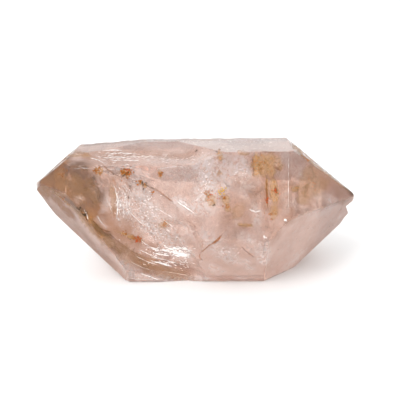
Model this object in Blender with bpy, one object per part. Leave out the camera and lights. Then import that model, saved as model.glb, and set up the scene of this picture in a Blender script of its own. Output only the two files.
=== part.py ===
"""A double-terminated quartz crystal of pale smoky pink, lying on one of its six long faces.

The crystal is one solid. It is the growth form of quartz: six long prism faces, and six sloping
faces at each point. Every face is a plane at its own distance from the crystal's centre, so the
form is cut from a block by those planes. A thin parallel overgrowth stands on its back, a worn
bevel runs along its upper front edge, and a hollow fracture took its lower left front corner.

The long axis is X, with the sharper point at +X. The crystal rests on z = 0.
"""
from math import cos, pi, radians, sin

import bmesh
import bpy
from mathutils import Matrix, Vector

MM = 0.001

# The faces of quartz. Sides are counted round the long axis, 60 degrees apart, from the top
# forward and down. An end face leans over the prism face below it by a fixed angle.
SIDES = ("top", "upper_front", "lower_front", "base", "lower_back", "upper_back")
TOP_AZIMUTH = radians(90)
SIDE_STEP = radians(60)
END_FACE_LEAN = radians(38.21)

# Driving dimensions: how far each face lies from the crystal's centre, in SIDES order.
PRISM_MM = (12.25, 10.6, 11.8, 12.1, 12.1, 11.4)
RIGHT_POINT_MM = (20.6, 18.8, 17.3, 21.4, 22.0, 20.6)
LEFT_POINT_MM = (22.5, 21.5, 16.9, 17.4, 17.0, 24.0)

# Two low faces beside the left point: a gentle taper of the top, and the blunt tip.
TOP_TAPER_MM = 13.0
TOP_TAPER_LEAN = radians(5)
BLUNT_TIP_MM = 27.0
BLUNT_TIP_AZIMUTH = radians(20)
BLUNT_TIP_LEAN = radians(62)

EDGE_WEAR = 0.16 * MM

# The overgrowth on the back: the same faces, standing 0.7 to 0.9 mm proud of the two back sides.
OVERGROWTH_PRISM_MM = (11.0, 9.0, 9.8, 11.2, 12.9, 11.9)
OVERGROWTH_RIGHT_MM = (18.0, 17.0, 16.0, 17.5, 18.6, 17.2)
OVERGROWTH_LEFT_MM = (20.0, 19.0, 16.0, 15.6, 14.2, 18.4)

# The worn bevel along the upper front edge. It is widest at the left and runs out at the right,
# so its top line is straight as far as a corner and then crosses the top face to the front edge.
BEVEL_REAR_CORNER = Vector((-3.0, 3.4, 12.25)) * MM
BEVEL_FRONT_CORNER = Vector((0.0, -6.3, 10.25)) * MM
BEVEL_RUN_OUT = Vector((6.0, -5.1, 12.25)) * MM

# The fracture at the lower left front is two long shell-shaped hollows that meet in a ridge: a
# narrow one beside the left point, and a broad one. Each is given by its centre, by half its
# length, depth and width, and by the slope of its length. Faint ripples spread from the blow.
HOLLOWS_MM = (
    ((-11.7, -11.8, 0.4), (43.0, 6.0, 6.0), radians(-50)),
    ((-12.2, -15.0, 3.9), (35.7, 8.0, 11.3), radians(-63)),
)
HOLLOW_ROWS = 112
HOLLOW_COLUMNS = 60
BLOW_POINT = Vector((-1.5, -8.5, 7.0)) * MM
RIPPLE_HEIGHT = 0.1 * MM
RIPPLE_LENGTH = 3.1 * MM
LONG_RIPPLE_LENGTH = 5.3 * MM

# Shallow chips on the edges: the place of each, the radius of its curve and its depth.
CHIP_FINENESS = 5
CHIP_END_SHARE = 0.3
CHIPS_MM = (
    ((13.3, -12.6, -0.4), 2.0, 0.5),
    ((9.0, 13.2, -0.5), 9.0, 0.6),
    ((-4.0, 6.2, -12.1), 8.0, 0.5),
    ((22.4, 2.6, 8.9), 4.0, 0.5),
)

# The break under the right point leaves its last two millimetres standing out.
TIP_BREAK_X = 29.1 * MM
TIP_BREAK_Z = -0.2 * MM
TIP_BREAK_TURN = radians(24)

STONE_COLOUR = (0.62, 0.44, 0.36, 1.0)
STONE_ROUGHNESS = 0.12
QUARTZ_IOR = 1.544

BLOCK_SIZE = 160 * MM


def side_direction(azimuth):
    """The direction out from the long axis: azimuth 0 is the front, a quarter turn is up."""
    return Vector((0, -cos(azimuth), sin(azimuth)))


def leaning_face(azimuth, lean, end):
    """The outward direction of a face that leans from its side toward the +X or the -X end."""
    return side_direction(azimuth) * cos(lean) + Vector((end * sin(lean), 0, 0))


def quartz_faces(prism_mm, right_mm, left_mm):
    """The eighteen faces of one crystal, each as its outward direction and its distance."""
    faces = []
    for index in range(len(SIDES)):
        azimuth = TOP_AZIMUTH - SIDE_STEP * index
        faces.append((side_direction(azimuth), prism_mm[index] * MM))
        faces.append((leaning_face(azimuth, END_FACE_LEAN, 1), right_mm[index] * MM))
        faces.append((leaning_face(azimuth, END_FACE_LEAN, -1), left_mm[index] * MM))
    return faces


def cut_from_block(faces):
    """A block with everything beyond each face cut away, as a bmesh."""
    bm = bmesh.new()
    bmesh.ops.create_cube(bm, size=BLOCK_SIZE)
    for direction, distance in faces:
        everything = bm.verts[:] + bm.edges[:] + bm.faces[:]
        cut = bmesh.ops.bisect_plane(
            bm, geom=everything, plane_co=direction * distance, plane_no=direction, clear_outer=True
        )
        rim = [item for item in cut["geom_cut"] if isinstance(item, bmesh.types.BMEdge)]
        if rim:
            bmesh.ops.edgeloop_fill(bm, edges=rim)
    bmesh.ops.recalc_face_normals(bm, faces=bm.faces[:])
    return bm


def solid_object(name, bm, parent=None):
    """An object made from a finished bmesh, placed with its parent."""
    mesh = bpy.data.meshes.new(name)
    bm.to_mesh(mesh)
    bm.free()
    solid = bpy.data.objects.new(name, mesh)
    bpy.context.scene.collection.objects.link(solid)
    solid.parent = parent
    return solid


def shape(crystal, name, bm, operation):
    """Adds to the crystal, or takes from it, a guide solid that stays hidden."""
    guide = solid_object(name, bm, crystal)
    guide.hide_render = True
    guide.display_type = "WIRE"
    step = crystal.modifiers.new(name, "BOOLEAN")
    step.operation = operation
    step.object = guide


def stone_material():
    """Clear quartz with a breath of smoky pink."""
    material = bpy.data.materials.new("smoky_pink_quartz")
    material.use_nodes = True
    shader = material.node_tree.nodes["Principled BSDF"]
    shader.inputs["Base Color"].default_value = STONE_COLOUR
    shader.inputs["Roughness"].default_value = STONE_ROUGHNESS
    shader.inputs["Metallic"].default_value = 0
    shader.inputs["IOR"].default_value = QUARTZ_IOR
    shader.inputs["Transmission Weight"].default_value = 1
    return material


def crystal_body():
    """The main crystal, with its worn edges."""
    faces = quartz_faces(PRISM_MM, RIGHT_POINT_MM, LEFT_POINT_MM)
    faces.append((leaning_face(TOP_AZIMUTH, TOP_TAPER_LEAN, -1), TOP_TAPER_MM * MM))
    faces.append((leaning_face(BLUNT_TIP_AZIMUTH, BLUNT_TIP_LEAN, -1), BLUNT_TIP_MM * MM))
    bm = cut_from_block(faces)
    bmesh.ops.bevel(
        bm, geom=bm.edges[:], offset=EDGE_WEAR, offset_type="OFFSET", segments=1,
        profile=0.5, affect="EDGES", material=-1, clamp_overlap=True,
    )
    return bm


def bevel_waste():
    """What is missing above the two planes of the worn bevel."""
    along = Vector((1, 0, 0))
    main_plane = along.cross(BEVEL_REAR_CORNER - BEVEL_FRONT_CORNER).normalized()
    end_plane = (BEVEL_RUN_OUT - BEVEL_FRONT_CORNER).cross(BEVEL_REAR_CORNER - BEVEL_FRONT_CORNER)
    end_plane.normalize()
    faces = []
    for direction in (main_plane, end_plane):
        downward = direction if direction.z < 0 else -direction
        faces.append((downward, downward.dot(BEVEL_FRONT_CORNER)))
    return cut_from_block(faces)


def hollow_waste(centre_mm, half_sizes_mm, slope):
    """One shell-shaped hollow that the fracture left, with its ripples."""
    bm = bmesh.new()
    bmesh.ops.create_uvsphere(bm, u_segments=HOLLOW_COLUMNS, v_segments=HOLLOW_ROWS, radius=1)
    bmesh.ops.rotate(bm, verts=bm.verts[:], matrix=Matrix.Rotation(pi / 2, 3, "Y"))
    bmesh.ops.scale(bm, verts=bm.verts[:], vec=Vector(half_sizes_mm) * MM)
    bmesh.ops.rotate(bm, verts=bm.verts[:], matrix=Matrix.Rotation(-slope, 3, "Y"))
    bmesh.ops.translate(bm, verts=bm.verts[:], vec=Vector(centre_mm) * MM)
    bm.normal_update()
    for vert in bm.verts:
        reach = (vert.co - BLOW_POINT).length
        ripple = sin(2 * pi * reach / RIPPLE_LENGTH) + sin(2 * pi * reach / LONG_RIPPLE_LENGTH)
        vert.co += vert.normal * ripple * RIPPLE_HEIGHT
    return bm


def chip_waste(place_mm, radius_mm, depth_mm):
    """A shallow shell-shaped chip, struck off from outside."""
    place = Vector(place_mm)
    outward = Vector((CHIP_END_SHARE * place.x, place.y, place.z)).normalized()
    centre = place + outward * (radius_mm - depth_mm)
    bm = bmesh.new()
    bmesh.ops.create_icosphere(bm, subdivisions=CHIP_FINENESS, radius=radius_mm * MM)
    bmesh.ops.translate(bm, verts=bm.verts[:], vec=centre * MM)
    return bm


def tip_break_waste():
    """The missing corner under the right point."""
    outward = Vector((-cos(TIP_BREAK_TURN), 0, -sin(TIP_BREAK_TURN)))
    upward = Vector((-sin(TIP_BREAK_TURN), 0, cos(TIP_BREAK_TURN)))
    corner = Vector((TIP_BREAK_X, 0, TIP_BREAK_Z))
    return cut_from_block([(outward, outward.dot(corner)), (upward, upward.dot(corner))])


def rest_on_origin(crystal):
    """Moves the crystal so that its box stands centred on the origin."""
    bpy.context.view_layer.update()
    evaluated = crystal.evaluated_get(bpy.context.evaluated_depsgraph_get())
    points = [vert.co for vert in evaluated.data.vertices]
    lowest = Vector([min(point[axis] for point in points) for axis in range(3)])
    highest = Vector([max(point[axis] for point in points) for axis in range(3)])
    crystal.location = Vector((
        -(lowest.x + highest.x) / 2, -(lowest.y + highest.y) / 2, -lowest.z
    ))


def build():
    """Clears the scene and makes the crystal."""
    for item in list(bpy.data.objects):
        bpy.data.objects.remove(item)
    crystal = solid_object("crystal", crystal_body())
    crystal.data.materials.append(stone_material())
    overgrowth = quartz_faces(OVERGROWTH_PRISM_MM, OVERGROWTH_RIGHT_MM, OVERGROWTH_LEFT_MM)
    shape(crystal, "back_overgrowth", cut_from_block(overgrowth), "UNION")
    shape(crystal, "edge_bevel", bevel_waste(), "DIFFERENCE")
    for number, (centre_mm, half_sizes_mm, slope) in enumerate(HOLLOWS_MM, start=1):
        hollow = hollow_waste(centre_mm, half_sizes_mm, slope)
        shape(crystal, f"hollow_{number}", hollow, "DIFFERENCE")
    shape(crystal, "tip_break", tip_break_waste(), "DIFFERENCE")
    for number, (place_mm, radius_mm, depth_mm) in enumerate(CHIPS_MM, start=1):
        chip = chip_waste(place_mm, radius_mm, depth_mm)
        shape(crystal, f"chip_{number}", chip, "DIFFERENCE")
    rest_on_origin(crystal)


build()
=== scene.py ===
"""The double-terminated quartz crystal as it looks: a clear, pale smoky pink stone with a hollow
fracture, frosted faces, white healed cracks, and rusty iron in some of them.

The crystal lies along X with the sharper point at +X, and rests on z = 0.
"""
from math import atan2, cos, hypot, pi, radians, sin
from random import Random

import bmesh
import bpy
import numpy as np
from mathutils import Matrix, Vector, noise
from mathutils.bvhtree import BVHTree
from mathutils.kdtree import KDTree


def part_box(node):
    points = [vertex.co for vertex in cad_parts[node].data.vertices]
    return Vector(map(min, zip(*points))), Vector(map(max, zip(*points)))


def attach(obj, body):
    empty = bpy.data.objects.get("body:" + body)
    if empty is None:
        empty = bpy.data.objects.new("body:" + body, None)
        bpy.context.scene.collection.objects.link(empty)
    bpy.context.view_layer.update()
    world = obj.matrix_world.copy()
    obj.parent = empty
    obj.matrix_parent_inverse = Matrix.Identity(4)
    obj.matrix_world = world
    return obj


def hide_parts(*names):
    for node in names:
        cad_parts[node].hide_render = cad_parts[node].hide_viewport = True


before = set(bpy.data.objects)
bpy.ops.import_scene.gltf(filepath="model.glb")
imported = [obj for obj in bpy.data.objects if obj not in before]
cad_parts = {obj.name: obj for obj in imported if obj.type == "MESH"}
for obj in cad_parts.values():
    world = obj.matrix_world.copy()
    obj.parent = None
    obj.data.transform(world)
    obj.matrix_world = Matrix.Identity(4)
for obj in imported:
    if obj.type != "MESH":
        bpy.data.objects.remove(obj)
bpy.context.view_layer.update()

# The crystal itself. The real one is a single piece of quartz, grown from hot water in an open
# pocket: flat natural faces with growth lines and frosting, and a shell-shaped fracture low on
# its left front. It lies loose on its long lower face.
MM = 0.001
LONG_AXIS = Vector((1, 0, 0))
MIDDLE = Vector((-0.3, -0.7, 12.1)) * MM
SAME_POINT = 0.001 * MM
SAME_FACE_ANGLE = radians(0.4)
NATURAL_FACE_AREA = 3.0 * MM * MM
SLICE = 0.4 * MM
FAN_SLICES = 90
EDGE_ANGLE = radians(24)

GROWTH_LINE_DEPTH = 0.030 * MM
GROWTH_LINE_LENGTH = 0.7 * MM
GROWTH_LINES_PER_RADIAN = 1.5
WORN_GROWTH_LINES = 0.5
STREAK_DEPTH = 0.07 * MM
STREAK_WIDTH = 0.55 * MM
STREAK_LENGTH = 5.0 * MM
STREAKS_END = -1.4 * MM
STREAKS_FADE = 4 * MM
BLOW_POINT = Vector((-1.8, -9.2, 19.1)) * MM
FRACTURE_PATCH = 3.2 * MM
FRACTURE_STRENGTH = 0.6
RIB_SPACING = 1.25 * MM
RIB_DEPTH = 0.06 * MM
RIB_BEND_SIZE = 2.4 * MM
RIB_BEND = 2.5
HACKLE_DEPTH = 0.07 * MM
HACKLE_LENGTH = 3.5 * MM
HACKLES_PER_RADIAN = 26 / 6
HACKLE_PATTERN = 4
EDGE_WEAR_WIDTH = 0.55 * MM
EDGE_WEAR_DEPTH = 0.16 * MM
WEAR_PATCH = 1.3 * MM
WEAR_SHARE = 0.25

# How far a face turns up, towards the front or along the stone, as a part of its normal.
FLAT_UP, NEARLY_UP, STEEPLY_UP, SLIGHTLY_UP = 0.998, 0.9, 0.6, 0.2
FLAT_DOWN = -0.99
FRONTMOST, FRONTWARD = -0.97, -0.6
ENDWARD = 0.4

# How frosted and how hazy each kind of face is, and how much painted shade darkens it. The top's
# haze is partly real frosting and partly a painted highlight of the light it catches; the painted
# shade lies only on the upper end faces.
FACE_FINISHES = {
    "top": (0.40, 1.00, 0.0),
    "band": (0.30, 0.12, 0.0),
    "lower_end": (0.75, 0.10, 0.0),
    "upper_end": (0.30, 0.00, 0.52),
    "side": (0.12, 0.00, 0.0),
    "broken": (0.02, 0.00, 0.0),
}

box_low, box_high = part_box("crystal")


def cut_through(bm, faces, point, direction):
    """Scores the given faces where a plane crosses them. Gives back all the pieces."""
    edges = {edge for face in faces for edge in face.edges}
    verts = {vert for edge in edges for vert in edge.verts}
    cut = bmesh.ops.bisect_plane(
        bm, geom=list(verts) + list(edges) + list(faces), plane_co=point, plane_no=direction
    )
    return [item for item in cut["geom"] if isinstance(item, bmesh.types.BMFace)]


def fine_crystal():
    """The CAD crystal's surface, cut small enough to carry growth lines and wear."""
    bm = bmesh.new()
    bm.from_mesh(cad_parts["crystal"].data)
    bmesh.ops.remove_doubles(bm, verts=bm.verts[:], dist=SAME_POINT)
    bmesh.ops.dissolve_limit(
        bm, angle_limit=SAME_FACE_ANGLE, verts=bm.verts[:], edges=bm.edges[:]
    )
    broken = bm.faces.layers.int.new("broken")
    for face in bm.faces:
        face[broken] = int(face.calc_area() < NATURAL_FACE_AREA)
    natural = [face for face in bm.faces if not face[broken]]
    for number in range(FAN_SLICES):
        turn = pi * number / FAN_SLICES
        natural = cut_through(bm, natural, MIDDLE, Vector((0, cos(turn), sin(turn))))
    place = box_low.x + SLICE
    while place < box_high.x:
        ahead = [face for face in natural if max(vert.co.x for vert in face.verts) > place]
        natural = cut_through(bm, ahead, Vector((place, 0, 0)), LONG_AXIS)
        place += SLICE
    rough = [edge for edge in bm.edges if all(face[broken] for face in edge.link_faces)]
    bmesh.ops.subdivide_edges(bm, edges=rough, cuts=1, use_grid_fill=True)
    bmesh.ops.triangulate(bm, faces=bm.faces[:])
    bm.normal_update()
    return bm


def growth_lines(point):
    """Fine steps across the long faces, as quartz lays them down."""
    around = atan2(point.z - MIDDLE.z, point.y - MIDDLE.y)
    place = Vector((point.x / GROWTH_LINE_LENGTH, around * GROWTH_LINES_PER_RADIAN, 0))
    return GROWTH_LINE_DEPTH * noise.noise(place)


def streaks(point):
    """Wavy lengthwise streaks on the worn band at the upper left."""
    share = min(1, max(0, (STREAKS_END - point.x) / STREAKS_FADE))
    place = Vector((point.x / STREAK_LENGTH, point.y / STREAK_WIDTH, point.z / STREAK_WIDTH))
    return share * STREAK_DEPTH * noise.noise(place)


def fracture_marks(point):
    """Ribs round the point of the blow, and hackles running out from it."""
    spread = point - BLOW_POINT
    reach = spread.length
    around = atan2(spread.z, spread.x)
    strength = FRACTURE_STRENGTH + noise.noise(point / FRACTURE_PATCH)
    bend = RIB_BEND * noise.noise(point / RIB_BEND_SIZE)
    rib = sin(2 * pi * reach / RIB_SPACING + bend)
    hackle = noise.noise(
        Vector((around * HACKLES_PER_RADIAN, reach / HACKLE_LENGTH, HACKLE_PATTERN))
    )
    return strength * (RIB_DEPTH * rib + HACKLE_DEPTH * hackle)


def on_worn_side(point, normal):
    """Whether a point lies on the upper front side, or on the front of the top and its bevel."""
    upper_front = FRONTMOST < normal.y < FRONTWARD and normal.z > SLIGHTLY_UP
    return upper_front or normal.z > NEARLY_UP and point.y < 0


def weather(bm):
    """Gives the surface its growth lines, streaks, fracture marks and worn edges."""
    broken = bm.faces.layers.int["broken"]
    edge_verts = {
        vert for edge in bm.edges if edge.calc_face_angle(0) > EDGE_ANGLE for vert in edge.verts
    }
    edge_tree = KDTree(len(edge_verts))
    for vert in edge_verts:
        edge_tree.insert(vert.co, vert.index)
    edge_tree.balance()
    moves = {}
    for vert in bm.verts:
        point, normal = vert.co, vert.normal
        if all(face[broken] for face in vert.link_faces):
            offset = fracture_marks(point)
        elif any(face.normal.z < FLAT_DOWN for face in vert.link_faces):
            offset = 0
        elif on_worn_side(point, normal):
            offset = streaks(point) + WORN_GROWTH_LINES * growth_lines(point)
        else:
            offset = growth_lines(point)
        distance = edge_tree.find(point)[2]
        wear = max(0, 1 - distance / EDGE_WEAR_WIDTH)
        patch = max(0, WEAR_SHARE + noise.noise(point / WEAR_PATCH))
        offset -= EDGE_WEAR_DEPTH * wear * wear * patch
        moves[vert] = normal * offset
    for vert, move in moves.items():
        vert.co += move
        vert.co.z = max(0, vert.co.z)


def kind_of(face, broken):
    """Which of the crystal's surfaces a face is part of."""
    if face[broken]:
        return "broken"
    if face.normal.z > FLAT_UP:
        return "top"
    if face.normal.z > NEARLY_UP:
        return "band"
    if abs(face.normal.x) > ENDWARD and face.normal.z < -SLIGHTLY_UP:
        return "lower_end"
    if abs(face.normal.x) > ENDWARD and face.normal.z > STEEPLY_UP:
        return "upper_end"
    return "side"


def put_in_scene(name, data):
    """An object at the origin for a mesh or a camera."""
    thing = bpy.data.objects.new(name, data)
    bpy.context.scene.collection.objects.link(thing)
    return thing


bm = fine_crystal()
weather(bm)
broken = bm.faces.layers.int["broken"]
new_layer = bm.faces.layers.float.new
frost, haze_and_top_sheen, painted_end_shade, hackly = [new_layer(name) for name in ("frost", "haze_and_top_sheen", "painted_end_shade", "hackly")]
for face in bm.faces:
    face[frost], face[haze_and_top_sheen], face[painted_end_shade] = FACE_FINISHES[kind_of(face, broken)]
    face[hackly] = face[broken]
    face.smooth = True
bm.normal_update()
stone = BVHTree.FromBMesh(bm)
body_mesh = bpy.data.meshes.new("quartz_body")
bm.to_mesh(body_mesh)
bm.free()
body_mesh.set_sharp_from_angle(angle=EDGE_ANGLE)
quartz_body = put_in_scene("quartz_body", body_mesh)

# Where the camera stands, and the way its light bends into the stone. The stains and whatever
# lies in the stone are placed by the pixels of the photograph in which they show.
PHOTO_SIZE = 400
CAMERA_TURN = radians(1.42)
CAMERA_RISE = radians(18.83)
CAMERA_TILT = radians(-0.87)
CAMERA_DISTANCE = 0.110
AIM = Vector((0.88, -0.71, 13.77)) * MM
LENS = 52.27
SENSOR = 36
QUARTZ_IOR = 1.544

camera_back = Vector((
    sin(CAMERA_TURN) * cos(CAMERA_RISE), -cos(CAMERA_TURN) * cos(CAMERA_RISE), sin(CAMERA_RISE)
))
camera_turn = (
    (-camera_back).to_track_quat("-Z", "Y") @ Matrix.Rotation(CAMERA_TILT, 3, "Z").to_quaternion()
)
camera_place = AIM + camera_back * CAMERA_DISTANCE


def bent(direction, normal):
    """A ray of light's direction once it has entered the stone."""
    ratio = 1 / QUARTZ_IOR
    facing = -direction.dot(normal)
    return ratio * direction + (
        ratio * facing - (1 - ratio * ratio * (1 - facing * facing)) ** 0.5
    ) * normal


def inside_at(pixel_x, pixel_y, depth_mm, walk=0):
    """The place in the stone that shows at a pixel, this deep, or None.

    The pixel is one of the photograph, or of the same picture taken after walking round the
    stone by this many degrees.
    """
    sideways = (pixel_x - PHOTO_SIZE / 2) * SENSOR / PHOTO_SIZE
    upward = (PHOTO_SIZE / 2 - pixel_y) * SENSOR / PHOTO_SIZE
    round_stone = Matrix.Rotation(radians(walk), 3, "Z")
    direction = round_stone @ (camera_turn @ Vector((sideways, upward, -LENS))).normalized()
    eye = AIM + round_stone @ camera_back * CAMERA_DISTANCE
    place, normal, *_ = stone.ray_cast(eye, direction)
    if place is None:
        return None
    return place + bent(direction, normal) * depth_mm * MM


# Stains in the skin of the stone, with painted shade among the smoky ones and painted
# highlights among the milky ones: for each, the pixels along its middle, its reach in
# millimetres, its strength and, on another side, how many degrees round the stone that is.
GOLDEN_STAINS = (
    (((38, 186), (52, 184)), 2.8, 1.50),
    (((58, 168), (64, 194)), 3.0, 1.40),
    (((76, 207), (100, 234)), 1.6, 0.80),
    (((104, 236), (127, 252), (158, 264), (184, 270)), 2.2, 0.38),
    (((298, 165), (322, 180), (306, 204)), 3.4, 0.32),
    (((322, 180), (344, 196)), 2.0, 0.40),
    (((224, 196), (230, 210)), 1.4, 0.25),
    (((113, 180), (115, 216)), 1.0, 0.60),
    (((240, 206), (236, 222)), 3.0, 0.35),
    (((76, 180), (90, 208)), 2.8, 1.10),
    (((48, 202), (80, 234), (112, 266)), 3.2, 0.46),
    (((257, 152), (257, 174)), 1.8, 0.18),
    (((268, 156), (272, 170)), 2.2, 0.16),
    (((274, 178), (275, 206)), 1.8, 0.45),
    (((292, 186), (304, 192)), 1.4, 0.50),
    (((90, 156), (130, 153), (190, 155)), 2.0, 0.40),
    (((54, 197), (68, 212)), 2.4, 0.95),
    (((70, 154), (90, 158)), 1.5, 0.55),
    (((306, 201), (322, 206)), 1.6, 0.50),
    (((98, 208), (112, 228), (126, 242)), 1.9, 0.62),
    (((112, 216), (132, 234)), 2.6, 0.52),
    (((138, 243), (160, 251)), 1.3, 0.50),
    (((243, 182), (258, 198)), 2.0, 0.46),
    (((281, 190), (290, 216)), 2.0, 0.42),
    (((268, 224), (276, 238)), 1.7, 0.36),
    (((266, 178), (267, 206)), 1.3, 0.50),
    (((150, 170), (190, 178)), 3.0, 0.35, 180),
    (((240, 190), (262, 210)), 2.6, 0.35, 180),
    (((96, 190), (110, 205)), 2.6, 0.40, 180),
    (((310, 190), (330, 200)), 3.2, 0.35, 180),
    (((176, 190), (200, 215)), 2.6, 0.30, 75),
    (((190, 185), (215, 200)), 3.4, 0.30, -75),
)
# Smoky stains, partly real smoke and partly painted shade: the dark in the hollow at the left and
# at the left tip, and dark lines along edges.
SMOKE_AND_SHADE_STAINS = (
    (((76, 168), (93, 196)), 2.8, 1.00),
    (((84, 182), (94, 200)), 2.0, 0.70),
    (((94, 200), (101, 218)), 1.3, 0.50),
    (((75, 182), (79, 210)), 1.9, 1.00),
    (((172, 190), (190, 200), (200, 214)), 2.2, 0.16),
    (((66, 199), (84, 214)), 0.7, 1.00),
    (((97, 227), (110, 236)), 0.7, 1.00),
    (((112, 247), (120, 253)), 0.5, 0.80),
    (((71, 165), (83, 161), (97, 162), (107, 170), (125, 179), (155, 190)), 0.4, 0.25),
    (((302, 153), (352, 193)), 1.0, 0.80),
    (((296, 213), (348, 200)), 0.5, 0.40),
    (((78, 147), (120, 142), (178, 141)), 0.4, 0.40),
    (((240, 195), (236, 225)), 4.0, 0.22),
    (((214, 235), (250, 236)), 2.6, 0.15),
    (((48, 178), (70, 156)), 1.2, 0.60),
    (((44, 185), (70, 188)), 3.0, 0.28),
)
# Milky stains, partly real milky patches and partly painted light: painted highlights on the
# fracture's ripples and on a flash off a flat face in it, and painted light laid over shade along
# the base and across the upper front.
MILKY_STAINS_AND_HIGHLIGHTS = (
    (((116, 184), (119, 200), (118, 217), (122, 224)), 0.9, 1.00),
    (((124, 186), (127, 205), (124, 220)), 1.1, 0.90),
    (((136, 192), (146, 206), (150, 226)), 3.0, 0.75),
    (((140, 225), (175, 238)), 2.4, 0.65),
    (((164, 250), (190, 252)), 1.5, 0.80),
    (((124, 144), (186, 144)), 1.4, 0.40),
    (((148, 277), (176, 279), (206, 279)), 1.0, 0.70),
    (((108, 170), (134, 169)), 1.2, 0.60),
    (((216, 156), (224, 172), (222, 182)), 2.4, 0.60),
    (((294, 156), (300, 170)), 2.4, 0.60),
    (((168, 214), (190, 232)), 1.8, 0.40),
    (((236, 277), (272, 277)), 0.8, 0.40),
    (((284, 270), (298, 256)), 2.0, 0.45),
    (((176, 253), (188, 253)), 1.3, 0.90),
    (((200, 160), (208, 176), (203, 205)), 2.6, 0.78),
    (((238, 164), (246, 186)), 1.8, 0.75),
    (((256, 198), (257, 225)), 0.9, 0.60),
    (((224, 252), (232, 260)), 1.7, 0.65),
    (((261, 247), (265, 261)), 1.7, 0.65),
    (((206, 238), (214, 247)), 1.6, 0.55),
    (((242, 235), (250, 240)), 1.2, 0.60),
    (((246, 262), (250, 270)), 1.2, 0.45),
    (((212, 266), (220, 272)), 1.2, 0.40),
    (((285, 198), (293, 203)), 1.0, 0.35),
    (((172, 172), (197, 176)), 2.0, 0.28),
    (((152, 160), (198, 160)), 1.6, 0.50),
    (((286, 194), (285, 210)), 0.9, 0.60),
    (((120, 262), (140, 278)), 1.6, 0.50),
    (((177, 201), (184, 204), (192, 210)), 1.3, 0.80),
    (((120, 200), (150, 215)), 3.0, 0.60, 180),
    (((200, 220), (230, 240)), 3.0, 0.50, 180),
    (((276, 180), (296, 200)), 2.6, 0.50, 180),
    (((184, 235), (215, 248)), 2.6, 0.50, 75),
    (((200, 220), (220, 240)), 2.0, 0.50, -75),
)
STREAKY_STAINS = (
    (((80, 156), (130, 154), (188, 156)), 2.4, 1.00),
    (((214, 143), (286, 144)), 6.0, 0.80),
)
STAIN_RIM = 1.3


def mark_stains(name, stains):
    """Writes how strongly each point is stained, fading out at the rim, a share of the reach."""
    points = np.array([vert.co for vert in body_mesh.vertices])
    strongest = np.zeros(len(points))
    for pixels, reach_mm, strength, *walk in stains:
        path = [np.array(inside_at(x, y, 0, *walk)) for x, y in pixels]
        for start, end in zip(path, path[1:]):
            run = end - start
            share = np.clip((points - start) @ run / (run @ run), 0, 1)
            distance = np.linalg.norm(points - start - share[:, None] * run, axis=1)
            near = np.clip(STAIN_RIM - distance / (reach_mm * MM), 0, 1)
            strongest = np.maximum(strongest, strength * near * near * (3 - 2 * near))
    layer = body_mesh.attributes.new(name, "FLOAT", "POINT")
    layer.data.foreach_set("value", strongest)


mark_stains("golden", GOLDEN_STAINS)
# The smoky stains carry painted shade as well as smoke.
mark_stains("smoky", SMOKE_AND_SHADE_STAINS)
# The milky stains carry painted highlights as well as milky patches.
mark_stains("milk_and_highlight", MILKY_STAINS_AND_HIGHLIGHTS)
mark_stains("streaky", STREAKY_STAINS)

# The finish of the quartz: its colours, the size and stretch of each pattern in it, and how rough
# and pitted it is where it is frosted. A range gives the pattern's values between which the look
# changes, then how strong it is at the two.
QUARTZ_CLARITY = 0.70
PALE_PINK = (0.86, 0.64, 0.56, 1)
SMOKY_PINK = (0.66, 0.45, 0.37, 1)
GOLDEN_BROWN = (0.35, 0.13, 0.03, 1)
# This smoke brown is used for smoke stains and for painted shade.
SMOKE_AND_SHADE_BROWN = (0.17, 0.078, 0.036, 1)
# This milk white is used for milky patches and for painted highlights, the top face's among them.
MILK_AND_HIGHLIGHT_WHITE = (1.0, 0.96, 0.95, 1)
SMOKE_COLOUR = (0.80, 0.62, 0.52, 1)
SMOKE_DENSITY = 45
CLOUD_SIZE, SMOKY_CLOUD, PALE_CLOUD = 4 * MM, 0.36, 0.60
WISP_SIZE, WISP_RANGE = 1.4 * MM, (0.50, 0.72, 0, 0.5)
THREAD_SIZE, THREAD_STRETCH, THREAD_RANGE = 0.55 * MM, (0.12, 1, 1), (0.45, 0.65, 0, 0.5)
DRIFT_SIZE, DRIFT_STRETCH, DRIFT_RANGE = 1.8 * MM, (0.2, 1, 1), (0.42, 0.58, 0.6, 1.1)
MILK_AND_HIGHLIGHT_SIZE, MILK_AND_HIGHLIGHT_RANGE = 0.55 * MM, (0.42, 0.56, 0.1, 1.25)
GOLD_SIZE, GOLD_RANGE = 2.5 * MM, (0.25, 0.50, 0.1, 1.25)
SMOKE_AND_SHADE_SIZE, SMOKE_AND_SHADE_RANGE = 2.5 * MM, (0.25, 0.55, 0.1, 1.25)
FROST_SIZE, FROST_RANGE = 0.5 * MM, (0.3, 0.7, 0.6, 1.2)
SMOOTHEST, ROUGHEST = 0.04, 0.55
PIT_SIZE, PIT_STRETCH, PIT_DEPTH = 0.5 * MM, (0.35, 1, 1), 0.02 * MM
FEWEST_PITS, MOST_PITS, FROST_PITTING = 0.12, 1, 0.35


def tools_for(tree):
    """The two functions that add a node to a node tree and join two sockets in it."""

    def add(kind, **settings):
        node = tree.nodes.new(kind)
        for setting, value in settings.items():
            setattr(node, setting, value)
        return node

    return add, tree.links.new


def new_material(name):
    """A material with nodes: gives it, its shader, and functions that add and join nodes."""
    material = bpy.data.materials.new(name)
    material.use_nodes = True
    shader = material.node_tree.nodes["Principled BSDF"]
    return material, shader, *tools_for(material.node_tree)


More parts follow.
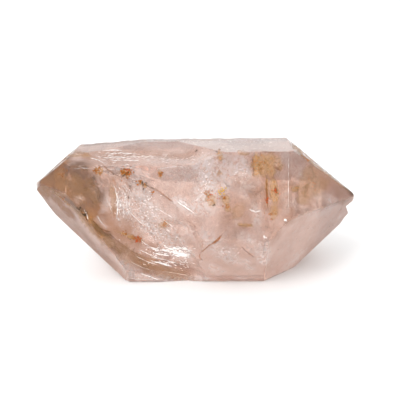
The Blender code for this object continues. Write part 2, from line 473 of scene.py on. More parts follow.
def noise_node(add, join, size, detail=4, roughness=0.55, stretch=(1, 1, 1), distortion=0):
    """A noise pattern fixed to the object, with features of about this size in metres."""
    coordinates = add("ShaderNodeTexCoord")
    mapping = add("ShaderNodeMapping")
    mapping.inputs["Scale"].default_value = stretch
    pattern = add("ShaderNodeTexNoise")
    pattern.inputs["Scale"].default_value = 1 / size
    pattern.inputs["Detail"].default_value = detail
    pattern.inputs["Roughness"].default_value = roughness
    pattern.inputs["Distortion"].default_value = distortion
    join(coordinates.outputs["Object"], mapping.inputs["Vector"])
    join(mapping.outputs["Vector"], pattern.inputs["Vector"])
    return pattern.outputs["Fac"]


def span(add, join, value, low, high, to_low, to_high):
    """Maps a value from one range to another, held at the ends."""
    ranged = add("ShaderNodeMapRange")
    for socket, number in (
        ("From Min", low), ("From Max", high), ("To Min", to_low), ("To Max", to_high)
    ):
        ranged.inputs[socket].default_value = number
    join(value, ranged.inputs["Value"])
    return ranged.outputs["Result"]


def colours(add, join, value, *stops):
    """Colours along a value, given as pairs of place and colour."""
    ramp = add("ShaderNodeValToRGB")
    elements = ramp.color_ramp.elements
    while len(elements) < len(stops):
        elements.new(0.5)
    for element, (place, colour) in zip(elements, stops):
        element.position = place
        element.color = colour
    join(value, ramp.inputs["Fac"])
    return ramp.outputs["Color"]


def calculate(add, join, operation, *values):
    """One sum on sockets and numbers."""
    sum_node = add("ShaderNodeMath", operation=operation)
    for number, value in enumerate(values):
        if isinstance(value, bpy.types.NodeSocket):
            join(value, sum_node.inputs[number])
        else:
            sum_node.inputs[number].default_value = value
    return sum_node.outputs["Value"]


def blend(add, join, share, first, second):
    """A colour that goes from the first to the second by a share."""
    mix = add("ShaderNodeMix", data_type="RGBA")
    factor, _, _, _, _, _, from_colour, to_colour = list(mix.inputs)[:8]
    join(share, factor)
    for value, socket in ((first, from_colour), (second, to_colour)):
        if isinstance(value, bpy.types.NodeSocket):
            join(value, socket)
        else:
            socket.default_value = value
    return mix.outputs[2]


def quartz_material():
    """Clear quartz with a breath of smoky pink, cloudier in patches and frosted on some faces,
    with painted highlights and painted shade in its colour.
    """
    material, shader, add, join = new_material("smoky_pink_quartz")

    def mark(name):
        return add("ShaderNodeAttribute", attribute_name=name).outputs["Fac"]

    def times(strength, pattern, levels):
        return calculate(add, join, "MULTIPLY", strength, span(add, join, pattern, *levels))

    def broken_up(name, size, levels):
        patches = noise_node(add, join, size, detail=7, roughness=0.65, distortion=0.5)
        return times(mark(name), patches, levels)

    clouds = noise_node(add, join, CLOUD_SIZE, detail=7, roughness=0.62)
    colour = colours(add, join, clouds, (SMOKY_CLOUD, SMOKY_PINK), (PALE_CLOUD, PALE_PINK))
    wisps = noise_node(add, join, WISP_SIZE, detail=9, roughness=0.7, distortion=0.8)
    colour = blend(add, join, span(add, join, wisps, *WISP_RANGE), colour, MILK_AND_HIGHLIGHT_WHITE)
    threads = noise_node(add, join, THREAD_SIZE, stretch=THREAD_STRETCH, distortion=0.3)
    threads = times(mark("streaky"), threads, THREAD_RANGE)
    colour = blend(add, join, threads, colour, MILK_AND_HIGHLIGHT_WHITE)
    drifts = noise_node(add, join, DRIFT_SIZE, detail=7, stretch=DRIFT_STRETCH, distortion=0.6)
    # On the top face these white drifts are partly its frosting and partly a painted highlight of
    # the light it catches; elsewhere they are milky haze.
    colour = blend(add, join, times(mark("haze_and_top_sheen"), drifts, DRIFT_RANGE), colour, MILK_AND_HIGHLIGHT_WHITE)
    # Milky patches, with painted highlights among them.
    colour = blend(add, join, broken_up("milk_and_highlight", MILK_AND_HIGHLIGHT_SIZE, MILK_AND_HIGHLIGHT_RANGE), colour, MILK_AND_HIGHLIGHT_WHITE)
    colour = blend(add, join, broken_up("golden", GOLD_SIZE, GOLD_RANGE), colour, GOLDEN_BROWN)
    # Smoke stains, with painted shade among them.
    colour = blend(add, join, broken_up("smoky", SMOKE_AND_SHADE_SIZE, SMOKE_AND_SHADE_RANGE), colour, SMOKE_AND_SHADE_BROWN)
    # Painted shade: the upper end faces are darkened towards smoke brown.
    colour = blend(add, join, mark("painted_end_shade"), colour, SMOKE_AND_SHADE_BROWN)
    join(colour, shader.inputs["Base Color"])
    frosting = times(mark("frost"), noise_node(add, join, FROST_SIZE), FROST_RANGE)
    join(span(add, join, frosting, 0, 1, SMOOTHEST, ROUGHEST), shader.inputs["Roughness"])
    grain = noise_node(add, join, PIT_SIZE, detail=5, roughness=0.6, stretch=PIT_STRETCH)
    pits = add("ShaderNodeBump")
    pits.inputs["Distance"].default_value = PIT_DEPTH
    join(grain, pits.inputs["Height"])
    pitted = calculate(add, join, "MULTIPLY", mark("frost"), FROST_PITTING)
    pitted = calculate(add, join, "MAXIMUM", pitted, mark("hackly"))
    join(span(add, join, pitted, 0, 1, FEWEST_PITS, MOST_PITS), pits.inputs["Strength"])
    join(pits.outputs["Normal"], shader.inputs["Normal"])
    shader.inputs["IOR"].default_value = QUARTZ_IOR
    shader.inputs["Transmission Weight"].default_value = QUARTZ_CLARITY
    smoke = add("ShaderNodeVolumeAbsorption")
    smoke.inputs["Color"].default_value = SMOKE_COLOUR
    smoke.inputs["Density"].default_value = SMOKE_DENSITY
    join(smoke.outputs["Volume"], material.node_tree.nodes["Material Output"].inputs["Volume"])
    return material


body_mesh.materials.append(quartz_material())
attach(quartz_body, "root")
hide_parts("crystal")

# The healed cracks: thin curved sheets inside the stone where old cracks grew shut and trapped
# tiny bubbles, so they look like white gauze. They are part of the crystal and never leave it.
SHEET_STEP = 0.35 * MM
LEAST_COVER = 0.25 * MM
RIM_RAGS, RIM_RAG_DEPTH, RIM_FADE = 2.2, 0.28, 0.5
SHEET_WAVES, SHEET_WAVE_HEIGHT = 1.3, 0.09
SEED_STEP = 3.7
GAUZE_SIZE = 1.9 * MM
TINT_SIZE = 3 * MM
# These film colours serve the gauze of the healed cracks and the painted glints of the white
# cracks.
FILM_PINK = (0.93, 0.85, 0.81, 1)
FILM_WHITE = (0.97, 0.95, 0.94, 1)
FILM_ROUGHNESS = 0.6
FILM_SOFTNESS, FILM_THICKEST = 0.26, 1.5

# For each: the pixel where its middle shows, its depth along the light's path in the stone,
# length and width in millimetres, slope, turn and lean in degrees, and how dense it is.
HEALED_CRACKS = (
    # x, y, depth, length, width, slope, turn, lean, density
    (207, 182, 2.5, 8.0, 13.0, 10, 15, -10, 0.55),
    (241, 176, 4.0, 8.0, 7.0, -20, -12, 10, 0.50),
    (154, 220, 1.6, 16.0, 13.0, 30, 10, 0, 0.50),
    (140, 200, 1.0, 9.0, 6.0, 60, 20, 0, 0.45),
    (228, 253, 3.0, 7.0, 5.5, 10, 20, -15, 0.50),
    (256, 212, 3.0, 3.2, 8.0, 12, -20, 0, 0.50),
    (286, 203, 3.0, 5.0, 6.0, -15, -30, 10, 0.40),
    (190, 158, 6.0, 20.0, 6.0, -4, 0, -35, 0.35),
    (176, 161, 2.0, 11.0, 5.0, -3, 0, -30, 0.20),
    (264, 165, 2.5, 10.0, 7.0, 4, 0, -30, 0.50),
    (312, 184, 2.0, 10.0, 9.0, 20, 30, -20, 0.55),
    (210, 210, 12.0, 42.0, 18.0, -3, 0, 12, 0.38),
    (250, 225, 8.0, 20.0, 12.0, 14, 24, 30, 0.30),
    (120, 190, 8.0, 20.0, 14.0, -24, -24, -20, 0.30),
    (300, 195, 7.0, 12.0, 9.0, 20, 40, 0, 0.30),
)


def depth_in_stone(point):
    """How far a point lies under the stone's surface, negative outside."""
    place, normal, _, distance = stone.find_nearest(point)
    return distance if (place - point).dot(normal) > 0 else -distance


def add_sheet(bm, middle, length_mm, width_mm, slope, turn, lean, density, seed):
    """A curved sheet with a ragged, fading rim, trimmed where it would leave the stone."""
    fade_layer = bm.verts.layers.float["fade"]
    length, width = length_mm * MM, width_mm * MM
    sheet = bmesh.ops.create_grid(
        bm, x_segments=max(4, round(length / SHEET_STEP)),
        y_segments=max(4, round(width / SHEET_STEP)), size=1,
    )["verts"]
    facing = (
        Matrix.Rotation(radians(turn), 3, "Z") @ Matrix.Rotation(radians(lean), 3, "X")
        @ Matrix.Rotation(radians(-slope), 3, "Y") @ Matrix.Rotation(radians(90), 3, "X")
    )
    for vert in sheet:
        across, along = vert.co.y, vert.co.x
        rags = noise.noise(Vector((RIM_RAGS * along, RIM_RAGS * across, seed)))
        inward = (1 + RIM_RAG_DEPTH * rags - hypot(along, across)) / RIM_FADE
        vert[fade_layer] = density * min(1, max(0, inward))
        waves = noise.noise(Vector((SHEET_WAVES * along, SHEET_WAVES * across, seed + 0.5)))
        height = SHEET_WAVE_HEIGHT * (length + width) * waves
        vert.co = middle + facing @ Vector((along * length / 2, across * width / 2, height))
    outside = [
        vert for vert in sheet if depth_in_stone(vert.co) < LEAST_COVER or vert[fade_layer] <= 0
    ]
    bmesh.ops.delete(bm, geom=outside, context="VERTS")


def bmesh_with(layer):
    """An empty bmesh whose points carry one number of this name."""
    bm = bmesh.new()
    bm.verts.layers.float.new(layer)
    return bm


def new_piece(name, bm, material):
    """A finished piece of the crystal, which moves with it."""
    mesh = bpy.data.meshes.new(name)
    for face in bm.faces:
        face.smooth = True
    bm.to_mesh(mesh)
    bm.free()
    mesh.materials.append(material)
    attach(put_in_scene(name, mesh), "root")


def white_film_material(name, size, open_cover, low):
    """A white film, left open where its pattern is low and thick elsewhere: gauze of tiny bubbles
    in the healed cracks, and painted glints in the white cracks.
    """
    material, shader, add, join = new_material(name)
    fade = add("ShaderNodeAttribute", attribute_name="fade").outputs["Fac"]
    wisps = noise_node(add, join, size, detail=8, roughness=0.68, distortion=0.6)
    cover = span(add, join, wisps, low, low + FILM_SOFTNESS, open_cover, FILM_THICKEST)
    join(calculate(add, join, "MULTIPLY", fade, cover), shader.inputs["Alpha"])
    tint = noise_node(add, join, TINT_SIZE, detail=3)
    join(colours(add, join, tint, (0.35, FILM_PINK), (0.6, FILM_WHITE)),
         shader.inputs["Base Color"])
    shader.inputs["Roughness"].default_value = FILM_ROUGHNESS
    return material


bm = bmesh_with("fade")
for number, (x, y, depth, *shape) in enumerate(HEALED_CRACKS):
    add_sheet(bm, inside_at(x, y, depth), *shape, seed=number * SEED_STEP)
new_piece("healed_cracks", bm, white_film_material(
    "white_gauze", GAUZE_SIZE, open_cover=0.05, low=0.44
))

# The iron skins: golden and brown rust that seeped along the faces and the fracture and dried
# there in thin patches, no thicker than paint.
SKIN_DEPTH = -0.01
RIBBON_STEP = 0.25 * MM
PIXELS_PER_MM = MM * LENS / SENSOR * PHOTO_SIZE / CAMERA_DISTANCE
RAGS_PER_PIXEL = 0.15
RIBBON_END, RIBBON_BLUNTNESS = 0.04, 0.6
RIBBON_RAG_DEPTH, RIBBON_WAVER = 0.7, 0.1
END_FADE = 6
BLOT_SIZE = 0.6 * MM
BLOT_RANGE = (0.38, 0.66)
RUST_ROUGHNESS, RUST_SPECULAR = 0.5, 0.2
PALE_RUST = (0.60, 0.37, 0.18, 1)
BROWN_RUST = (0.50, 0.27, 0.105, 1)
DEEP_RUST = (0.27, 0.11, 0.03, 1)

# For each: the pixels along its middle, its width in millimetres, how much of the light it stops
# and, on another side, how many degrees round the stone that is.
IRON_SKINS = (
    (((256.5, 150), (256.5, 179)), 1.8, 0.90),
    (((263, 150), (263, 179)), 2.4, 0.75),
    (((270, 151), (271, 180)), 2.4, 0.75),
    (((278, 156), (281, 172)), 1.4, 0.50),
    (((266.5, 174), (267.5, 209)), 0.7, 0.95),
    (((273, 176), (275, 206)), 2.0, 0.85),
    (((275, 187), (277, 196)), 1.0, 0.80),
    (((275, 203), (273, 221)), 1.8, 0.75),
    (((291, 191), (301, 187)), 1.6, 0.80),
    (((298, 176), (312, 180), (324, 196)), 7.0, 0.45),
    (((290, 143), (314, 163)), 1.3, 0.70),
    (((300, 154), (351, 192.5)), 0.7, 0.90),
    (((140, 165), (165, 170), (185, 182)), 2.2, 0.60, 180),
    (((238, 186), (250, 205)), 1.8, 0.60, 180),
    (((300, 190), (326, 204)), 2.4, 0.55, 180),
    (((206, 180), (225, 195)), 2.0, 0.50, 75),
    (((180, 236), (208, 246)), 1.8, 0.50, -75),
    (((50, 170), (62, 160), (74, 152)), 1.0, 0.80),
    (((68, 156), (80, 154), (92, 156)), 1.2, 0.70),
    (((247, 164.5), (286, 164.5)), 4.2, 0.22),
    (((302, 190), (304, 206)), 3.0, 0.50),
    (((38, 186), (54, 182), (72, 184)), 6.0, 0.15),
    (((58, 166), (66, 198)), 3.2, 0.20),
    (((72, 172), (84, 206)), 3.4, 0.30),
    (((88, 176), (98, 208)), 3.0, 0.25),
    (((74, 205), (100, 235), (116, 248)), 2.8, 0.55),
    (((108, 240), (130, 257), (160, 271), (197, 279)), 3.4, 0.42),
    (((94, 171), (104, 171)), 1.8, 1.00),
    (((119, 172), (132, 174)), 2.0, 1.00),
    (((138, 182), (148, 187)), 1.3, 0.90),
    (((219, 148), (221, 162)), 1.2, 0.80),
    (((217, 172), (223, 174)), 1.0, 0.70),
    (((224, 194), (229, 213)), 1.8, 0.80),
    (((206, 190), (215, 208)), 2.0, 0.75),
    (((236, 224), (254, 226)), 1.0, 0.80),
    (((158, 227), (170, 222)), 1.6, 0.80),
    (((116, 231), (132, 237), (145, 242)), 1.2, 0.90),
    (((159, 169), (161, 179)), 0.9, 0.90),
    (((236, 152), (250, 154)), 1.2, 0.60),
    (((110, 182), (114, 200), (113, 216)), 1.6, 0.40),
    (((232, 208), (244, 214)), 4.0, 0.30),
)


def along(pixels, share):
    """The point this share of the way along a row of pixels, and the direction there."""
    place = min(share, 0.9999) * (len(pixels) - 1)
    first, second = Vector(pixels[int(place)]), Vector(pixels[int(place) + 1])
    return first.lerp(second, place % 1), (second - first).normalized()


def add_ribbon(bm, pixels, width_mm, density, depth_mm, walk=0):
    """A ribbon in the stone's skin that follows the pixels, thin at its ends and ragged."""
    fade_layer = bm.verts.layers.float["fade"]
    length = sum(hypot(x - u, y - v) for (x, y), (u, v) in zip(pixels, pixels[1:]))
    length_mm = length / PIXELS_PER_MM
    ribbon = bmesh.ops.create_grid(
        bm, x_segments=max(12, round(length_mm * MM / RIBBON_STEP)),
        y_segments=max(4, round(width_mm * MM / RIBBON_STEP)), size=1,
    )["verts"]
    beside_stone = []
    for vert in ribbon:
        share, across = (vert.co.x + 1) / 2, vert.co.y
        middle, direction = along(pixels, share)
        rags = Vector((*middle * RAGS_PER_PIXEL, width_mm))
        taper = sin(pi * (RIBBON_END + (1 - 2 * RIBBON_END) * share)) ** RIBBON_BLUNTNESS
        taper *= 1 + RIBBON_RAG_DEPTH * noise.noise(rags * 2)
        shift = across * taper * width_mm / 2 + RIBBON_WAVER * noise.noise(rags * 3)
        pixel = middle + Vector((-direction.y, direction.x)) * shift * PIXELS_PER_MM
        ends = min(1, END_FADE * share, END_FADE * (1 - share))
        vert[fade_layer] = density * (1 - across ** 4) * ends
        place = inside_at(pixel.x, pixel.y, depth_mm, walk)
        if place is None:
            beside_stone.append(vert)
        else:
            vert.co = place
    bmesh.ops.delete(bm, geom=beside_stone, context="VERTS")


def rust_material(name, *stops, thinnest):
    """Dried rust that goes through the given colours as it gets thicker."""
    material, shader, add, join = new_material(name)
    fade = add("ShaderNodeAttribute", attribute_name="fade").outputs["Fac"]
    blots = noise_node(add, join, BLOT_SIZE, detail=9, roughness=0.75, distortion=0.5)
    cover = span(add, join, blots, *BLOT_RANGE, thinnest, 1)
    join(calculate(add, join, "MULTIPLY", fade, cover), shader.inputs["Alpha"])
    join(colours(add, join, blots, *stops), shader.inputs["Base Color"])
    shader.inputs["Roughness"].default_value = RUST_ROUGHNESS
    shader.inputs["Specular IOR Level"].default_value = RUST_SPECULAR
    return material


bm = bmesh_with("fade")
for pixels, width_mm, density, *walk in IRON_SKINS:
    add_ribbon(bm, pixels, width_mm, density, SKIN_DEPTH, *walk)
new_piece("iron_skins", bm, rust_material(
    "rust_skin", (0.40, PALE_RUST), (0.52, BROWN_RUST), (0.66, DEEP_RUST), thinnest=0.30
))

# The iron grains: specks of rust, black ore and yellow ochre that grew in the stone's skin, with
# one dark needle, and fine rust-coloured specks that are painted shade between the fracture's
# ridges. They are angular, and lie open at the surface or just above it.
RUST_AND_SHADE_GRAIN, BLACK_GRAIN, OCHRE_GRAIN, RED_GRAIN = 0.0, 0.34, 0.67, 1.0

# For each cluster: its pixel, its spread in pixels, how many grains, their size in millimetres,
# their kind and, on another side, how many degrees round the stone that is.
GRAIN_AND_SHADE_CLUSTERS = (
    (125.5, 172.5, 2.4, 34, 0.34, RUST_AND_SHADE_GRAIN),
    (122, 172, 1.4, 10, 0.30, RUST_AND_SHADE_GRAIN),
    (129, 171, 1.6, 10, 0.30, RED_GRAIN),
    (97, 171, 2.2, 16, 0.28, RUST_AND_SHADE_GRAIN),
    (99, 172, 3.0, 8, 0.22, RUST_AND_SHADE_GRAIN),
    (143.5, 185, 1.8, 12, 0.24, BLACK_GRAIN),
    (141, 182, 2.0, 12, 0.30, RUST_AND_SHADE_GRAIN),
    (130, 186, 0.4, 3, 0.26, BLACK_GRAIN),
    (129, 197, 0.9, 5, 0.20, BLACK_GRAIN),
    (213.5, 205, 0.5, 4, 0.26, BLACK_GRAIN),
    (196, 151, 0.6, 4, 0.26, BLACK_GRAIN),
    (219, 152, 1.6, 5, 0.22, BLACK_GRAIN),
    (160, 173, 1.6, 14, 0.26, RUST_AND_SHADE_GRAIN),
    (153, 193, 1.4, 8, 0.28, RUST_AND_SHADE_GRAIN),
    (221.5, 191, 1.7, 16, 0.34, OCHRE_GRAIN),
    (225, 198, 1.6, 10, 0.28, RUST_AND_SHADE_GRAIN),
    (211, 197, 3.0, 14, 0.22, RED_GRAIN),
    (209, 193, 2.4, 14, 0.24, RUST_AND_SHADE_GRAIN),
    (227, 206, 2.4, 10, 0.24, RUST_AND_SHADE_GRAIN),
    (165, 224, 2.2, 14, 0.24, RUST_AND_SHADE_GRAIN),
    (138, 239, 1.8, 22, 0.32, RED_GRAIN),
    (134, 237, 1.5, 10, 0.28, RUST_AND_SHADE_GRAIN),
    (125, 234, 2.0, 10, 0.24, RUST_AND_SHADE_GRAIN),
    (276, 191, 1.6, 10, 0.30, RED_GRAIN),
    (267, 200, 1.4, 10, 0.28, RED_GRAIN),
    (64, 172, 2.4, 10, 0.24, RUST_AND_SHADE_GRAIN),
    (84, 214, 1.6, 14, 0.28, BLACK_GRAIN),
    (80, 208, 1.4, 10, 0.26, BLACK_GRAIN),
    (176, 183, 0.4, 2, 0.20, BLACK_GRAIN),
    (104, 239, 0.4, 2, 0.20, BLACK_GRAIN),
    (313, 187, 4.0, 14, 0.18, RUST_AND_SHADE_GRAIN),
    (272, 216, 3.0, 12, 0.20, RUST_AND_SHADE_GRAIN),
    (258, 162, 5.0, 24, 0.18, RUST_AND_SHADE_GRAIN),
    # Painted shade: these five clusters of tiny rust-coloured specks stand for the shadows between
    # the fracture's ridges.
    (136, 205, 10.0, 60, 0.12, RUST_AND_SHADE_GRAIN),
    (164, 235, 11.0, 50, 0.12, RUST_AND_SHADE_GRAIN),
    (152, 257, 14.0, 60, 0.13, RUST_AND_SHADE_GRAIN),
    (92, 196, 8.0, 40, 0.13, RUST_AND_SHADE_GRAIN),
    (212, 180, 7.0, 30, 0.12, RUST_AND_SHADE_GRAIN),
    (152, 168, 3.0, 16, 0.26, RUST_AND_SHADE_GRAIN, 180),
    (176, 178, 2.0, 10, 0.24, RED_GRAIN, 180),
    (245, 196, 3.0, 16, 0.26, RUST_AND_SHADE_GRAIN, 180),
    (205, 232, 5.0, 12, 0.20, BLACK_GRAIN, 180),
    (312, 198, 3.0, 12, 0.24, RUST_AND_SHADE_GRAIN, 180),
    (215, 188, 3.0, 12, 0.24, RUST_AND_SHADE_GRAIN, 75),
    (194, 241, 3.0, 12, 0.24, RUST_AND_SHADE_GRAIN, -75),
)
GRAIN_DEPTH = -0.04
GRAIN_LEAST, GRAIN_MOST = 0.5, 1.6
GRAIN_SHAPE = (1, 0.5, 0.7)
GRAIN_LUMPS, LUMP_HEIGHT, LUMP_SEED = 3, 0.5, 4000
NEEDLE_PIXELS = ((121, 177.5), (129, 172))
NEEDLE_THICKNESS = 0.26
NEEDLE_DEPTH = -0.14
MOTTLE_SIZE, MOTTLE_RANGE = 0.3 * MM, (0.3, 0.7, -0.09, 0.09)
GRAIN_ROUGHNESS, GRAIN_SPECULAR = 0.6, 0.2
GRAIN_COLOURS = (
    (0.0, (0.34, 0.11, 0.015, 1)),
    (0.14, (0.13, 0.045, 0.01, 1)),
    (0.30, (0.05, 0.03, 0.02, 1)),
    (0.50, (0.10, 0.06, 0.02, 1)),
    (0.60, (0.62, 0.42, 0.06, 1)),
    (0.76, (0.50, 0.26, 0.04, 1)),
    (0.90, (0.42, 0.07, 0.015, 1)),
)


def add_grain(bm, place, sizes_mm, turn, kind=RUST_AND_SHADE_GRAIN):
    """One small angular grain, as long, deep and high as its three sizes."""
    kind_layer = bm.verts.layers.float["kind"]
    grain = bmesh.ops.create_icosphere(bm, subdivisions=1, radius=0.5)["verts"]
    for vert in grain:
        lumps = noise.noise(vert.co * GRAIN_LUMPS + place * LUMP_SEED)
        vert.co *= 1 + LUMP_HEIGHT * lumps
        vert.co = place + turn @ Vector([vert.co[axis] * sizes_mm[axis] * MM for axis in range(3)])
        vert[kind_layer] = kind


def grain_material():
    """Rust, black ore, yellow ochre and red rust, by the kind of grain; the rust colour also
    paints the shade specks.
    """
    material, shader, add, join = new_material("iron_grain")
    kind = add("ShaderNodeAttribute", attribute_name="kind").outputs["Fac"]
    mottle = span(add, join, noise_node(add, join, MOTTLE_SIZE), *MOTTLE_RANGE)
    mottled = calculate(add, join, "ADD", kind, mottle)
    join(colours(add, join, mottled, *GRAIN_COLOURS), shader.inputs["Base Color"])
    shader.inputs["Roughness"].default_value = GRAIN_ROUGHNESS
    shader.inputs["Specular IOR Level"].default_value = GRAIN_SPECULAR
    return material


def add_sliver(bm, start, end, thickness_mm, kind=RUST_AND_SHADE_GRAIN):
    """A thin straight grain from one place to another, half as deep as it is thick."""
    run = end - start
    add_grain(bm, (start + end) / 2, (run.length / MM, thickness_mm / 2, thickness_mm),
              run.to_track_quat("X", "Z").to_matrix(), kind)


bm = bmesh_with("kind")
chance = Random(11)
for x, y, spread, count, size, kind, *walk in GRAIN_AND_SHADE_CLUSTERS:
    for _ in range(count):
        place = inside_at(chance.gauss(x, spread), chance.gauss(y, spread), GRAIN_DEPTH, *walk)
        sizes = [size * chance.uniform(GRAIN_LEAST, GRAIN_MOST) * share for share in GRAIN_SHAPE]
        if place is not None:
            add_grain(bm, place, sizes, Matrix.Rotation(chance.uniform(0, 2 * pi), 3, "Y"), kind)
needle_ends = [inside_at(x, y, NEEDLE_DEPTH) for x, y in NEEDLE_PIXELS]
add_sliver(bm, *needle_ends, NEEDLE_THICKNESS, BLACK_GRAIN)
new_piece("iron_grains_and_shade_specks", bm, grain_material())

# Painted glints: short white slivers on the fracture and the worn band, just above the
# surface. They are painted highlights for the light that sparkles on the fracture's ridges.
GLINT_HEIGHT = -0.02
PATCH_SPREAD = 1.8
TURN_SPREAD = 14
SHORTEST, LONGEST = 0.25, 0.9
THINNEST, THICKEST = 0.5, 1.3
GLINT_TINT_SIZE = 1.5 * MM
GLINT_PINK = (0.90, 0.80, 0.78, 1)
GLINT_WHITE = (1.0, 0.97, 0.96, 1)
GLINT_ROUGHNESS = 0.3

# For each patch: its middle and half size in pixels, the way its glints run in degrees, how
# many there are, their length in pixels and their thickness in millimetres.
GLINT_PATCHES = (
    ((120, 203), (5, 15), 84, 90, 2.6, 0.10),
    ((127, 205), (5, 13), 80, 70, 2.2, 0.09),
    ((146, 212), (12, 14), 35, 80, 2.2, 0.08),
    ((160, 234), (14, 8), 25, 50, 2.6, 0.08),
    ((168, 251), (18, 5), 10, 110, 4.0, 0.11),
    ((181, 253), (8, 4), 8, 60, 3.4, 0.16),
    ((163, 263), (12, 2), 14, 30, 5.0, 0.10),
    ((182, 264), (12, 5), 8, 40, 3.6, 0.07),
    ((115, 156), (24, 5), -2, 60, 6.0, 0.08),
    ((165, 158), (24, 5), -1, 30, 5.0, 0.06),
    ((206, 183), (7, 20), 60, 70, 1.8, 0.08),
    ((242, 175), (7, 9), 30, 30, 1.8, 0.07),
    ((230, 252), (14, 6), 20, 30, 2.0, 0.06),
)


def glint_material():
    """Painted glint, white with a breath of pink."""
    material, shader, add, join = new_material("painted_glint_colour")
    tint = noise_node(add, join, GLINT_TINT_SIZE, detail=3)
    join(colours(add, join, tint, (0.35, GLINT_PINK), (0.6, GLINT_WHITE)),
         shader.inputs["Base Color"])
    shader.inputs["Roughness"].default_value = GLINT_ROUGHNESS
    return material


bm = bmesh_with("kind")
for middle, half_size, direction, count, length, thickness in GLINT_PATCHES:
    for _ in range(count):
        x, y = (
            chance.gauss(centre, half / PATCH_SPREAD) for centre, half in zip(middle, half_size)
        )
        turn = radians(direction + chance.gauss(0, TURN_SPREAD))
        reach = length * chance.uniform(SHORTEST, LONGEST)
        ends = [
            inside_at(x + side * cos(turn) * reach, y + side * sin(turn) * reach, GLINT_HEIGHT)
            for side in (-0.5, 0.5)
        ]
        if None not in ends:
            add_sliver(bm, *ends, thickness * chance.uniform(THINNEST, THICKEST))
new_piece("painted_glints", bm, glint_material())

# The open cracks and ridges in the very skin of the stone. The white ones are mostly painted
# highlights, glints of light on the fracture's ridges and ripples and a flash off a flat face
# in it; the others are narrow gaps filled with brown iron.
CRACK_DEPTH = -0.03
CRUSH_AND_GLINT_SIZE = 0.6 * MM
RUSTY_BROWN = (0.36, 0.13, 0.035, 1)
DARK_BROWN = (0.24, 0.08, 0.02, 1)
NEARLY_BLACK = (0.12, 0.04, 0.012, 1)

# For each: the pixels along it, its width in millimetres, how much of the light it stops and, on
# another side, how many degrees round the stone that is.
WHITE_CRACKS_AND_GLINTS = (
    (((175, 200), (186, 207.5), (197, 215)), 0.24, 0.8),
    (((177, 199.5), (184, 203), (191, 208)), 0.80, 0.35),
    (((112, 183), (116, 190), (118, 205), (117, 217), (122, 224)), 0.24, 0.6),
    (((122, 186), (125, 196), (124, 208), (122, 216)), 0.20, 0.5),
    (((127, 188), (130, 198), (129, 210)), 0.14, 0.4),
    (((149, 260), (160, 263), (173, 267)), 0.32, 1.0),
    (((152, 253), (160, 254), (170, 256)), 0.30, 1.0),
    (((150, 257), (162, 259), (180, 264)), 0.22, 0.9),
    (((161, 243), (169, 249), (182, 248), (192, 251)), 0.34, 1.0),
    (((172, 252), (180, 254), (190, 256)), 0.95, 1.0),
    (((158, 248), (170, 252), (186, 252)), 0.28, 0.9),
    (((140, 240), (150, 247), (160, 250)), 0.24, 0.8),
    (((144, 246), (156, 250), (164, 252)), 0.20, 0.8),
    (((128, 210), (140, 222), (156, 230)), 0.20, 0.5),
    (((150, 214), (164, 220), (180, 232)), 0.20, 0.5),
    (((145, 205), (160, 210), (176, 220)), 0.22, 0.5),
    (((96, 214), (101, 222), (108, 230)), 0.16, 0.6),
    (((106, 196), (110, 206), (113, 216)), 0.14, 0.5),
    (((84, 209), (87, 215), (88, 220)), 0.22, 0.9),
    (((72, 169), (84, 168), (92, 169)), 0.12, 0.6),
    (((190, 203), (197, 200), (205, 192)), 0.30, 0.3),
    (((248, 209), (256, 212), (262, 210)), 0.40, 0.5),
    (((263, 236), (267, 238)), 0.55, 1.0),
    (((284, 219), (287, 221)), 0.45, 0.9),
    (((100, 151), (112, 150), (124, 151)), 0.18, 0.9),
    (((104, 154), (122, 153), (140, 154)), 0.16, 0.9),
    (((102, 158), (116, 157), (130, 158)), 0.16, 0.8),
    (((108, 161), (124, 160), (142, 161)), 0.16, 0.7),
    (((128, 156), (144, 157), (158, 156)), 0.14, 0.7),
    (((88, 157), (98, 160), (106, 164)), 0.16, 0.8),
    (((154, 170), (170, 167), (188, 167)), 0.14, 0.5),
    (((288.5, 153), (288.5, 216)), 0.12, 0.5),
    (((128, 278), (140, 279), (158, 280)), 0.16, 0.6),
    (((140, 273), (150, 277), (160, 280)), 0.30, 0.8),
    (((134, 255), (146, 261), (160, 266)), 0.14, 0.7),
    (((138, 249), (150, 255), (166, 260)), 0.14, 0.8),
    (((128, 260), (141, 267), (156, 272)), 0.12, 0.5),
    (((160, 271), (175, 273), (190, 276)), 0.12, 0.5),
    (((116, 206), (128, 211), (140, 212)), 0.50, 0.5, 180),
    (((212, 208), (220, 218), (224, 228)), 0.45, 0.5, 180),
    (((262, 171), (278, 176), (290, 177)), 0.35, 0.5, 180),
)
IRON_CRACKS = (
    (((199, 254), (206, 248), (214, 242), (224, 233)), 0.26, 1.0),
    (((210, 246), (217, 241), (222, 236)), 0.26, 1.0),
    (((200, 254), (199, 257), (203, 261)), 0.26, 1.0),
    (((237, 225), (245, 226), (253, 225)), 0.20, 0.6),
    (((240, 245), (247, 252), (255, 258)), 0.25, 0.4),
    (((150, 186), (160, 192), (170, 200), (174, 203)), 0.16, 0.8),
    (((101, 163), (107, 169), (114, 174), (125, 179)), 0.18, 0.6),
    (((141, 183), (148, 186), (155, 190)), 0.16, 0.6),
    (((80, 210), (85, 216), (88, 222)), 0.30, 0.8),
    (((100, 228), (106, 231), (112, 232)), 0.35, 0.6),
    (((170, 226), (184, 216), (196, 200)), 0.24, 0.9, 180),
    (((266.5, 176), (266.8, 192), (267.6, 209)), 0.42, 0.75),
    (((276, 186), (275.5, 196)), 0.50, 0.50),
    (((252.8, 153), (253, 177)), 0.20, 0.50),
    (((46, 175), (58, 164), (73, 152)), 0.45, 0.55),
    (((262, 151.5), (276, 153)), 0.25, 0.50),
    (((273, 166), (281, 171)), 0.30, 0.60),
)


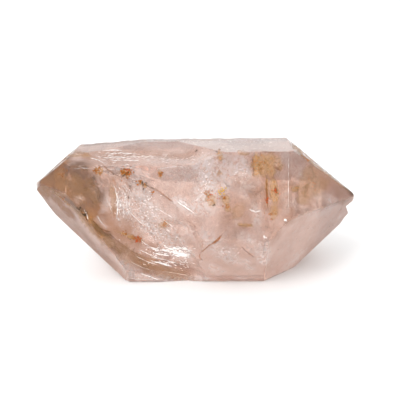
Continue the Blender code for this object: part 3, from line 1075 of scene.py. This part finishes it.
for name, cracks, material in (
    # White lines that are mostly painted highlights: glints on the fracture's ridges and ripples.
    ("white_cracks_and_glints", WHITE_CRACKS_AND_GLINTS, white_film_material(
        "crushed_quartz_and_glint", CRUSH_AND_GLINT_SIZE, open_cover=0.25, low=0.36
    )),
    ("iron_cracks", IRON_CRACKS, rust_material(
        "iron_crack", (0.38, RUSTY_BROWN), (0.54, DARK_BROWN), (0.68, NEARLY_BLACK),
        thinnest=0.9
    )),
):
    bm = bmesh_with("fade")
    for pixels, width_mm, density, *walk in cracks:
        add_ribbon(bm, pixels, width_mm, density, CRACK_DEPTH, *walk)
    new_piece(name, bm, material)

# The floor: a wide sheet of plain white card under the stone. It is a stage and no part of the
# object, and lies a hair below it.
FLOOR_SIZE = 3.0
FLOOR_DROP = 0.05 * MM
CARD_WHITE = (0.93, 0.93, 0.93, 1)
CARD_ROUGHNESS, CARD_SPECULAR = 0.8, 0.1
bm = bmesh.new()
bmesh.ops.create_grid(bm, x_segments=1, y_segments=1, size=FLOOR_SIZE / 2)
bmesh.ops.translate(bm, verts=bm.verts[:], vec=(0, 0, -FLOOR_DROP))
floor_mesh = bpy.data.meshes.new("floor")
bm.to_mesh(floor_mesh)
bm.free()
card, card_shader, *_ = new_material("white_card")
card_shader.inputs["Base Color"].default_value = CARD_WHITE
card_shader.inputs["Roughness"].default_value = CARD_ROUGHNESS
card_shader.inputs["Specular IOR Level"].default_value = CARD_SPECULAR
floor_mesh.materials.append(card)
put_in_scene("floor", floor_mesh)

# The light: an even white room, brighter in a wide zone high at the left front, with a small
# bright lamp in its middle. The camera itself sees a plain white backdrop.
ROOM_LIGHT = 0.88
LAMP_ZONE_LIGHT = 1.5
LAMP_ZONE = (0.35, 0.97)
LAMP_LIGHT = 9
LAMP_RIM = 0.96
BACKDROP_LIGHT = 1.1
WHITE = (1, 1, 1, 1)
LAMP_DIRECTION = Vector((-0.45, -0.50, 0.74)).normalized()
room = bpy.data.worlds.new("white_room")
room.use_nodes = True
background = room.node_tree.nodes["Background"]
add, join = tools_for(room.node_tree)
toward_lamp = add("ShaderNodeVectorMath", operation="DOT_PRODUCT")
toward_lamp.inputs[1].default_value = LAMP_DIRECTION
join(add("ShaderNodeTexCoord").outputs["Generated"], toward_lamp.inputs[0])
nearness = toward_lamp.outputs["Value"]
wide = span(add, join, nearness, *LAMP_ZONE, ROOM_LIGHT, LAMP_ZONE_LIGHT)
bright = span(add, join, nearness, LAMP_RIM, 1, 0, LAMP_LIGHT)
light = calculate(add, join, "ADD", wide, bright)
seen = add("ShaderNodeMix", data_type="FLOAT")
join(add("ShaderNodeLightPath").outputs["Is Camera Ray"], seen.inputs[0])
join(light, seen.inputs[2])
seen.inputs[3].default_value = BACKDROP_LIGHT
join(seen.outputs[0], background.inputs["Strength"])
background.inputs["Color"].default_value = WHITE
bpy.context.scene.world = room

# The camera: in front of the stone and a little above it, close up, as the photograph was taken.
# Light may bend and pass many times in the clear stone before it is lost.
NEAREST, FARTHEST = 0.005, 10
BRIGHTEST_BOUNCE = 6
BOUNCES = 24
FILMS_PASSED = 48
camera_data = bpy.data.cameras.new("camera")
camera_data.lens = LENS
camera_data.sensor_width = SENSOR
camera_data.clip_start = NEAREST
camera_data.clip_end = FARTHEST
camera = put_in_scene("camera", camera_data)
camera.location = camera_place
camera.rotation_mode = "QUATERNION"
camera.rotation_quaternion = camera_turn
scene = bpy.context.scene
scene.camera = camera
scene.view_settings.view_transform = "Standard"
scene.cycles.use_denoising = True
scene.cycles.sample_clamp_indirect = BRIGHTEST_BOUNCE
scene.cycles.max_bounces = BOUNCES
scene.cycles.transmission_bounces = BOUNCES
scene.cycles.transparent_max_bounces = FILMS_PASSED
